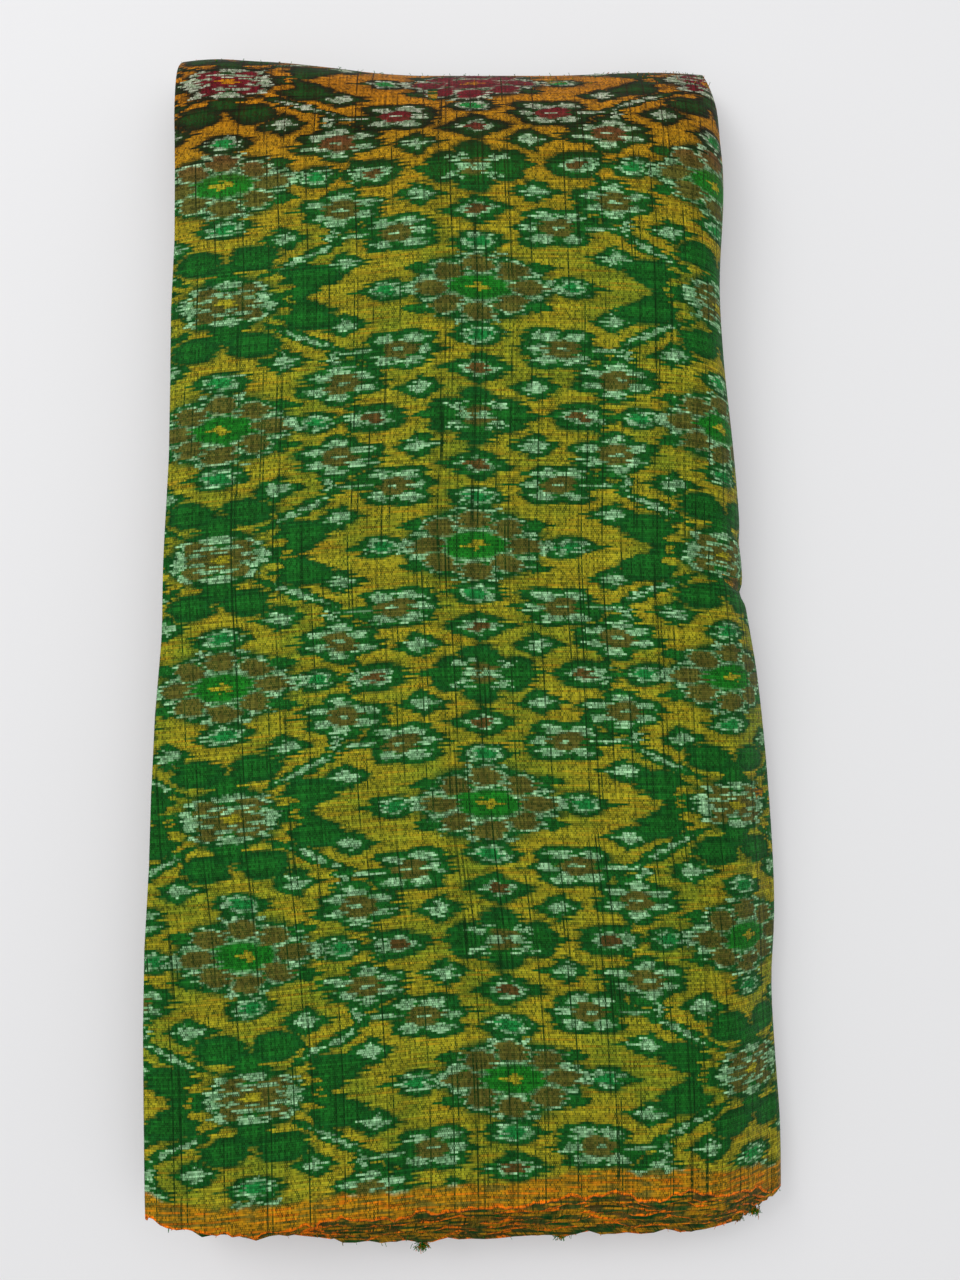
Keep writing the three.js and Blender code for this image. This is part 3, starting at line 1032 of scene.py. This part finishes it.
    def near_ends(self, share: np.ndarray) -> tuple[np.ndarray, np.ndarray]:
        """Gives where each row's two selvedges lie.

        Args:
            share: Depth share of each row, 0 inside to 1 outside.

        Returns:
            Distances along the bolt of the upper and the lower selvedge.
        """
        generator = np.random.default_rng(self.reach_seed)
        reach = generator.uniform(-0.9, 0.9, self.runs + 1)
        reach[self.runs - 1 :] = 0.0
        numbers = np.arange(self.runs + 1)
        reach = np.interp(self.section.run, numbers, reach)
        leaf = np.interp(self.section.run, numbers[:-1], LEAVES)
        leaf_share = np.clip((leaf + 0.5) / self.runs, 0, 1)
        leaf_share = np.where(self.section.run > self.runs - 1.5, share, leaf_share)
        x = self.across(self.section.fraction)
        scallop = Ripple(0.9, (21.0, 13.0, 9.0), 3).at(x) * leaf_share
        scallop = scallop + Ripple(1.3, (31.0, 17.0, 8.5), 5).at(x, leaf * 2.9)
        scallop = scallop + Ripple(0.5, (11.0, 6.0), 6).at(x, self.section.run * 1.9)
        line = smooth_curve(SELVEDGE_ACROSS, SELVEDGE_SHORT, x)
        inner = smooth_curve(REACH_ACROSS, INNER_REACH, x) * (1 - leaf_share)
        upper = line * leaf_share - inner - reach + scallop
        lower = leaf_share * self.lower_setback - inner + reach + 0.8 * scallop
        return upper, lower

    def path(self, share: np.ndarray) -> tuple[np.ndarray, np.ndarray, np.ndarray]:
        """Runs each row along its leg, round the far fold and back.

        Args:
            share: Depth share of each row, 0 inside to 1 outside.

        Returns:
            Distance along the bolt, height, and share of the upper half's outline, each for
            every row and station.
        """
        leg, slope, under, lower = (self.place[self.kind == kind] for kind in range(4))
        upper_end, lower_end = self.near_ends(share)
        share = share[:, None]
        tip = self.inner_tip + (self.outer_tip - self.inner_tip) * share
        tip_height = self.fold_plane + (self.outer_tip_height - self.fold_plane) * share
        nominal = ((2 * self.section.fraction - 1) * self.half_width)[:, None]
        start, end, depth = self.hollow
        fullness = self.left_fullness - depth * smooth_step(nominal, start, end)
        start, end, depth = self.swell
        power = 2 / (fullness + depth * smooth_step(nominal, start, end))

        leg = upper_end[:, None] + (self.shoulder - upper_end[:, None]) * leg
        high = np.broadcast_to(self.fold_plane * (1 + share), leg.shape)
        cosine, sine = np.clip(np.cos(slope), 0, 1), np.clip(np.sin(slope), 0, 1)
        rise = self.fold_plane * (1 + share) - tip_height
        slope = self.shoulder + (tip - self.shoulder) * cosine**power
        slope_high = tip_height + rise * sine**power
        reach = self.inner_underturn + (self.outer_underturn - self.inner_underturn) * share
        drop = tip_height - self.fold_plane * (1 - share)
        under_high = tip_height + drop * np.sin(under)
        under = tip - reach * (1 - np.cos(under))
        lower = lower_end[:, None] + (tip - reach - lower_end[:, None]) * lower
        low = np.broadcast_to(self.fold_plane * (1 - share), lower.shape)
        changing = smooth_step(np.broadcast_to(sine, slope.shape), 0.05, 0.8)
        parts = [np.ones(leg.shape), changing, np.zeros(under.shape), np.zeros(lower.shape)]
        along = np.concatenate([leg, slope, under, lower], axis=1)
        height = np.concatenate([high, slope_high, under_high, low], axis=1)
        return along, height, np.concatenate(parts, axis=1)

    def placed(self, side: int) -> np.ndarray:
        """Places one face of the cloth in the bolt.

        Args:
            side: -1 or 1 for one face or the other, 0 for the cloth's middle.

        Returns:
            Points of every row and station, in millimetres in the part's frame.
        """
        half = side * self.thickness / 2
        past = (self.section.past + half * self.section.normal_past)[:, None]
        height = self.section.height + half * self.section.normal_height
        share = self.depth_share(height)
        along, high, upper = self.path(share)
        fraction = self.section.fraction[:, None]

        left = -smooth_curve(LOWER_ALONG, LOWER_LEFT, along)
        right = smooth_curve(LOWER_ALONG, LOWER_RIGHT, along)
        flat_x = left + (right - left) * fraction + past
        radius = np.maximum(high - self.fold_plane, 0)
        left = -smooth_curve(UPPER_ALONG, UPPER_LEFT, along)
        axis = smooth_curve(UPPER_ALONG, UPPER_RIGHT, along) - self.fold_plane
        curl = np.clip((fraction - self.curl_start) / (1 - self.curl_start), 0, 1)
        angle = math.radians(self.curl_angle_deg) * curl
        level = left + (axis - left) * np.minimum(fraction / self.curl_start, 1)
        curled_x = level + radius * np.sin(angle) + past * np.cos(angle)
        curled_z = high - radius * (1 - np.cos(angle)) - past * np.sin(angle)
        x = flat_x + (curled_x - flat_x) * upper
        z = high + (curled_z - high) * upper

        z = z * (1 - self.sag(x, along) / self.height)
        drop, reach = self.overhang
        z = z - drop * upper * smooth_step(x - right, 0.0, reach)
        z = z + self.unevenness(x, along, share[:, None]) * upper
        for crease in self.creases:
            trough = crease.at(x, along) * upper * share[:, None]
            z = z - trough
            x = x - 0.5 * trough * smooth_step(x, 112.0, 136.0)
        x = x + self.edge_waves(along)
        y = along - self.outer_tip + CAD_HIGH.y / MM
        return np.stack([x + self.solid_middle_x, y, z], axis=-1)

    def sag(self, x: np.ndarray, along: np.ndarray) -> np.ndarray:
        """Gives how far the stack sags towards its two sides.

        Args:
            x: Place across the bolt.
            along: Place along the bolt.

        Returns:
            How much lower its top is.
        """
        start, end, depth = self.right_sag
        right = np.clip((x - start) / (end - start), 0, 1) ** 2 * depth
        start, end, near, far = self.left_sag
        left = np.clip((-x - start) / (end - start), 0, 1) ** 2
        return right + left * (near + (far - near) * along / self.outer_tip)

    def unevenness(self, x: np.ndarray, along: np.ndarray, share: np.ndarray) -> np.ndarray:
        """Lifts and lowers the cloth a little, as it never lies quite flat.

        Args:
            x: Place across the bolt.
            along: Place along the bolt.
            share: Depth share of each row.

        Returns:
            Heights to add.
        """
        swell = Ripple(0.5, (150.0, 97.0, 61.0), 11).at(along + 0.35 * x)
        swell = swell + Ripple(0.45, (120.0, 71.0), 13).at(x - 0.2 * along)
        shoulder = Ripple(0.35, (46.0, 29.0), 17).at(x + 0.1 * along)
        shoulder = shoulder * smooth_step(along, 400, 520)
        own = self.section.run[:, None] * 1.7
        ruffle = Ripple(0.5, (27.0, 16.0, 10.0), 19).at(x, own)
        ruffle = ruffle * (1 - smooth_step(along, 18, 60))
        leaf = np.interp(self.section.run, np.arange(self.runs), LEAVES)
        packed = (leaf - self.section.run)[:, None] * self.pitch * self.leaf_packing
        packed = packed * (1 - smooth_step(along, 20, 70))
        return (swell + shoulder) * share + ruffle * (0.25 + 0.75 * share) + packed

    def edge_waves(self, along: np.ndarray) -> np.ndarray:
        """Moves each run sideways a little, so that the side folds don't line up."""
        own = self.section.run[:, None] * 2.3
        return Ripple(0.7, (170.0, 96.0), 23).at(along, own)

    def faces(self) -> list[list[int]]:
        """Joins the points into the faces of one side of the cloth.

        The outer run and the near ends are fine; the hidden runs between them are coarse.

        Returns:
            Faces as indices of points, counted row by row.
        """
        columns = len(self.kept)
        last = columns - 1
        coarse = np.flatnonzero(self.kept)
        cells = []
        for row in range(len(self.section.run) - 1):
            bands = range(last)
            if not self.section.outer[row]:
                bands = [*range(self.near_bands), *range(last - self.near_bands, last)]
            cells.extend((row, row + 1, band, band + 1) for band in bands)
        middle = coarse[(coarse >= self.near_bands) & (coarse <= last - self.near_bands)]
        rows = np.flatnonzero(self.section.kept & ~self.section.outer)
        rows = np.append(rows, rows[-1] + 1)
        for row, next_row in zip(rows[:-1], rows[1:]):
            cells.extend((row, next_row, a, b) for a, b in zip(middle[:-1], middle[1:]))
        used = np.zeros((len(self.section.run), columns), bool)
        for a, b, c, d in cells:
            used[[a, a, b, b], [c, d, c, d]] = True
        faces = []
        for a, b, c, d in cells:
            ring = [(a, j) for j in range(c, d)]
            ring += [(i, d) for i in range(a, b)]
            ring += [(b, j) for j in range(d, c, -1)]
            ring += [(i, c) for i in range(b, a, -1)]
            faces.append([i * columns + j for i, j in ring if used[i, j]])
        return faces

    def cloth_coordinates(self) -> np.ndarray:
        """Works out where every point lies on the flat cloth.

        Returns:
            Place along the warp, place across it and distance to the selvedge, for every row
            and station, in millimetres.
        """
        points = self.placed(0)
        x = points[..., 0] - self.solid_middle_x
        along = points[..., 1] + self.outer_tip - CAD_HIGH.y / MM
        steps = np.linalg.norm(np.diff(points, axis=0), axis=-1)
        travelled = np.vstack([np.zeros(points.shape[1]), np.cumsum(steps, axis=0)])
        outer = np.flatnonzero(self.section.outer)
        columns = range(x.shape[1])
        zero = np.array([np.interp(0.0, x[outer, j], travelled[outer, j]) for j in columns])
        warp = travelled - zero - smooth_curve(AXIS_ALONG, AXIS_ACROSS, along)

        steps = np.linalg.norm(np.diff(points, axis=1), axis=-1)
        steps = np.hstack([np.zeros((len(points), 1)), steps])
        distance = np.cumsum(steps, axis=1)
        even = smooth_curve(ROW_ACROSS, ROW_ALONG, self.across(self.section.fraction))
        even = self.depth_share(self.section.height) * even
        weft = distance + (along[:, 0] - even)[:, None]
        weft = weft + smooth_curve(SLIP_ALONG, SLIP, along)
        weft = weft + smooth_curve(FAR_ALONG, FAR_SLIP, along) * smooth_step(-x, -30.0, 90.0)
        edge = np.minimum(distance, distance[:, -1:] - distance)
        return np.stack([warp, weft, edge], axis=-1)

    def mesh_object(
        self, layers: list[np.ndarray], faces: list[list[int]], coordinates: np.ndarray
    ) -> bpy.types.Object:
        """Makes one closed cloth of its two faces, its cut ends and its selvedges.

        Args:
            layers: Points of the two faces of the cloth.
            faces: Faces of one side.
            coordinates: The points' places on the flat cloth.

        Returns:
            The cloth's object.
        """
        rows, columns = coordinates.shape[:2]
        count = rows * columns
        lower = [face[::-1] for face in faces]
        upper = [[i + count for i in face] for face in faces]
        used = np.zeros(count, bool)
        for face in faces:
            used[face] = True
        rims = []
        for row in (0, rows - 1):
            line = [row * columns + j for j in range(columns) if used[row * columns + j]]
            rims.append(line if row == 0 else line[::-1])
        for column in (0, columns - 1):
            line = [i * columns + column for i in range(rows) if used[i * columns + column]]
            rims.append(line[::-1] if column == 0 else line)
        walls = [[a, b, b + count, a + count] for line in rims for a, b in zip(line, line[1:])]
        both = np.concatenate([used, used])
        renumbered = np.cumsum(both) - 1
        points = np.concatenate([layer.reshape(-1, 3) for layer in layers])[both] * MM
        places = np.tile(coordinates.reshape(-1, 3), (2, 1))[both]
        polygons = [[int(renumbered[i]) for i in face] for face in lower + upper + walls]
        mesh = bpy.data.meshes.new("ikat_silk_bolt")
        mesh.from_pydata(points.tolist(), [], polygons)
        layer = mesh.attributes.new("cloth", "FLOAT_VECTOR", "POINT")
        layer.data.foreach_set("vector", places.astype(np.float32).ravel())
        return new_object(mesh.name, mesh)


@dataclass(frozen=True)
class LooseFibre:
    """Silk and cotton ends, matt and fuzzy, that keep the dye of the yarn they come from."""

    name: str
    dye: Dye
    roughness: float = 0.9

    def build(self) -> bpy.types.Material:
        """Makes the fibre's material.

        Returns:
            The finished material.
        """
        material = new_material(self.name)
        inputs = {"Base Color": self.dye, "Roughness": self.roughness}
        inputs |= {"IOR": 1.5, "Specular IOR Level": 0.05}
        surface = add_node(material.node_tree, "BsdfPrincipled", inputs)
        add_node(material.node_tree, "OutputMaterial", {"Surface": surface})
        return material


@dataclass(frozen=True)
class LooseFibres:
    """Short ends of yarn off the near selvedges, singly and in tufts, and off the far fold."""

    # Place across the bolt and number of fibres of each tuft
    tufts: tuple[tuple[float, int], ...] = ((-133.0, 150), (-20.0, 130), (39.0, 90), (134.0, 170))
    tuft_spread: Place = (1.5, 0.6, 0.75)
    tuft_reach: float = 0.8
    tuft_height: float = 12.0
    root_window: float = 3.0
    strays: int = 330
    on_fold: int = 240
    length: tuple[float, float] = (0.7, 2.2)
    fold_length: tuple[float, float] = (0.5, 1.4)
    thickness: float = 0.28
    stray_share: float = 0.75
    wildness: float = 0.55
    curl: float = 0.5
    joints: int = 5
    orange_share: float = 0.25
    seed: int = 41

    def build(self, near: np.ndarray, fold: np.ndarray) -> bpy.types.Object:
        """Builds all fibres as one piece.

        Args:
            near: Points on the near selvedges, in millimetres.
            fold: Points along the far fold, in millimetres.

        Returns:
            The fibres' object.
        """
        generator = np.random.default_rng(self.seed)
        starts, lengths = [], []
        for x, number in self.tufts:
            close = near[np.abs(near[:, 0] - x) < self.root_window]
            close = close[close[:, 2] > self.tuft_height]
            root = close[np.argmin(close[:, 1])] + (0.0, -self.tuft_reach, 0.0)
            starts.append(root + generator.normal(0, 1, (number, 3)) * self.tuft_spread)
            lengths.append(generator.uniform(*self.length, number))
        for x in generator.uniform(near[:, 0].min(), near[:, 0].max(), self.strays):
            close = near[np.abs(near[:, 0] - x) < self.root_window]
            starts.append(close[generator.integers(len(close))][None])
            lengths.append(generator.uniform(*self.length, 1) * self.stray_share)
        roots = np.concatenate(starts)
        heading = np.tile((0.0, -1.0, -0.1), (len(roots), 1))
        above = fold[generator.integers(0, len(fold), self.on_fold)]
        lengths.append(generator.uniform(*self.fold_length, self.on_fold))
        roots = np.concatenate([roots, above])
        heading = np.concatenate([heading, np.tile((0.0, 0.7, 0.7), (self.on_fold, 1))])
        heading = heading + generator.normal(0, self.wildness, heading.shape)
        heading /= np.linalg.norm(heading, axis=1, keepdims=True)
        lines = self.lines(generator, roots, heading, np.concatenate(lengths))
        return self.tubes(generator, lines, heading)

    def lines(
        self, generator: np.random.Generator, roots: np.ndarray, heading: np.ndarray,
        lengths: np.ndarray,
    ) -> np.ndarray:
        """Curls each fibre on its way out.

        Args:
            generator: Source of the curls.
            roots: Where the fibres start.
            heading: Their directions.
            lengths: Their lengths.

        Returns:
            Points of each fibre.
        """
        t = np.linspace(0, 1, self.joints)[None, :, None]
        curl = generator.normal(0, self.curl, (len(roots), 1, 3))
        turns = generator.uniform(0.6, 1.6, (len(roots), 1, 1))
        out = heading[:, None] * t + curl * np.sin(math.pi * turns * t)
        lines = roots[:, None] + lengths[:, None, None] * out
        lines[..., 2] = np.clip(lines[..., 2], 0.4, CAD_HIGH.z / MM + 1.0)
        return lines

    def tubes(
        self, generator: np.random.Generator, lines: np.ndarray, heading: np.ndarray
    ) -> bpy.types.Object:
        """Makes a thin three-sided tube along each line.

        Args:
            generator: Source of the colours.
            lines: Points of each fibre.
            heading: Directions of the fibres.

        Returns:
            The fibres' object.
        """
        side = np.cross(heading, (0.31, 0.17, 0.93))
        side /= np.linalg.norm(side, axis=1, keepdims=True)
        other = np.cross(heading, side)
        angles = np.radians([90, 210, 330])
        ring = side[:, None] * np.cos(angles)[:, None] + other[:, None] * np.sin(angles)[:, None]
        points = lines[:, :, None] + ring[:, None] * self.thickness / 2
        polygons, slots = [], []
        for fibre in range(len(lines)):
            orange = int(generator.random() < self.orange_share)
            first = fibre * self.joints * 3
            for joint in range(self.joints - 1):
                a = first + joint * 3
                for i in range(3):
                    j = (i + 1) % 3
                    polygons.append((a + i, a + j, a + 3 + j, a + 3 + i))
            end = first + (self.joints - 1) * 3
            polygons.extend([(first + 2, first + 1, first), (end, end + 1, end + 2)])
            slots.extend([orange] * (3 * (self.joints - 1) + 2))
        mesh = bpy.data.meshes.new("loose_fibres")
        mesh.from_pydata((points.reshape(-1, 3) * MM).tolist(), [], polygons)
        for colour, dye in (("green", Dye.BRIGHT_GREEN), ("orange", Dye.STREAK)):
            mesh.materials.append(LooseFibre(f"silk_fibre_loose_{colour}", dye).build())
        mesh.polygons.foreach_set("material_index", slots)
        piece = new_object(mesh.name, mesh)
        dress(piece)
        return piece


@dataclass(frozen=True)
class Studio:
    """Pale floor, soft light from above and the left, and the camera above the bolt."""

    floor_half: float = 4.0
    camera_place: Place = (0.0046, -0.0463, 0.485)
    camera_tilt_deg: float = 4.5
    lens: float = 27.0
    sensor_width: float = 36.0
    near_limit: float = 0.01
    paper: str = "eaeaeb"
    air: str = "f6f6f7"
    air_strength: float = 0.62

    def build(self) -> None:
        """Sets the stage, lights it and places the camera."""
        self.floor()
        self.light("overhead_fill", (0.3, 0.2, 1.9), 2.2, 14.0)
        self.light("softbox_left", (-1.3, 1.0, 1.5), 1.0, 13.0)
        world = bpy.data.worlds.new("pale_room")
        world.use_nodes = True
        background = world.node_tree.nodes["Background"]
        background.inputs["Color"].default_value = linear_from_hex(self.air)
        background.inputs["Strength"].default_value = self.air_strength
        scene = bpy.context.scene
        scene.world = world
        scene.view_settings.view_transform = "Standard"
        self.camera()

    def floor(self) -> None:
        """Lays the matt paper that the bolt lies on."""
        half = self.floor_half
        corners = [(-half, -half, 0), (half, -half, 0), (half, half, 0), (-half, half, 0)]
        mesh = bpy.data.meshes.new("paper_floor")
        mesh.from_pydata(corners, [], [(0, 1, 2, 3)])
        # Matt coated paper: a pale, even ground that takes a soft shadow.
        paper = new_material("paper_matt_coated")
        inputs = {"Base Color": linear_from_hex(self.paper)}
        inputs |= {"Roughness": 0.85, "Specular IOR Level": 0.2}
        surface = add_node(paper.node_tree, "BsdfPrincipled", inputs)
        add_node(paper.node_tree, "OutputMaterial", {"Surface": surface})
        mesh.materials.append(paper)
        new_object(mesh.name, mesh)

    def light(self, name: str, place: Place, size: float, power: float) -> None:
        """Hangs one square soft light that faces the bolt.

        Args:
            name: The light's name.
            place: Where it hangs, in metres.
            size: Its side, in metres.
            power: Its power in watts.
        """
        lamp = bpy.data.lights.new(name, "AREA")
        lamp.size = size
        lamp.energy = power
        holder = new_object(name, lamp)
        holder.location = place
        x, y, z = place
        holder.rotation_euler.x = math.atan2(math.hypot(x, y), z)
        holder.rotation_euler.z = math.atan2(y, x) + math.pi / 2

    def camera(self) -> None:
        """Places the camera, a phone's wide lens held nearly level above the bolt."""
        view = bpy.data.cameras.new("camera")
        view.lens = self.lens
        view.sensor_width = self.sensor_width
        view.clip_start = self.near_limit
        holder = new_object("camera", view)
        holder.location = self.camera_place
        holder.rotation_euler.x = math.radians(self.camera_tilt_deg)
        bpy.context.scene.camera = holder


def main() -> None:
    """Builds the cloth and the studio, and reports each piece."""
    logging.basicConfig(level=logging.INFO, format="%(name)s: %(message)s")
    silk = IkatSilk().build()
    LOG.info("material %s: %d nodes", silk.name, len(silk.node_tree.nodes))
    folded = FoldedBolt()
    fibres = LooseFibres().build(*folded.loose_places())
    LOG.info("%s: %d faces", fibres.name, len(fibres.data.polygons))
    bolt = folded.build(silk, fibres)
    LOG.info("%s: %d points, %d faces", bolt.name, len(bolt.data.vertices), len(bolt.data.polygons))
    Studio().build()
    LOG.info("studio set")


if __name__ == "__main__":
    main()
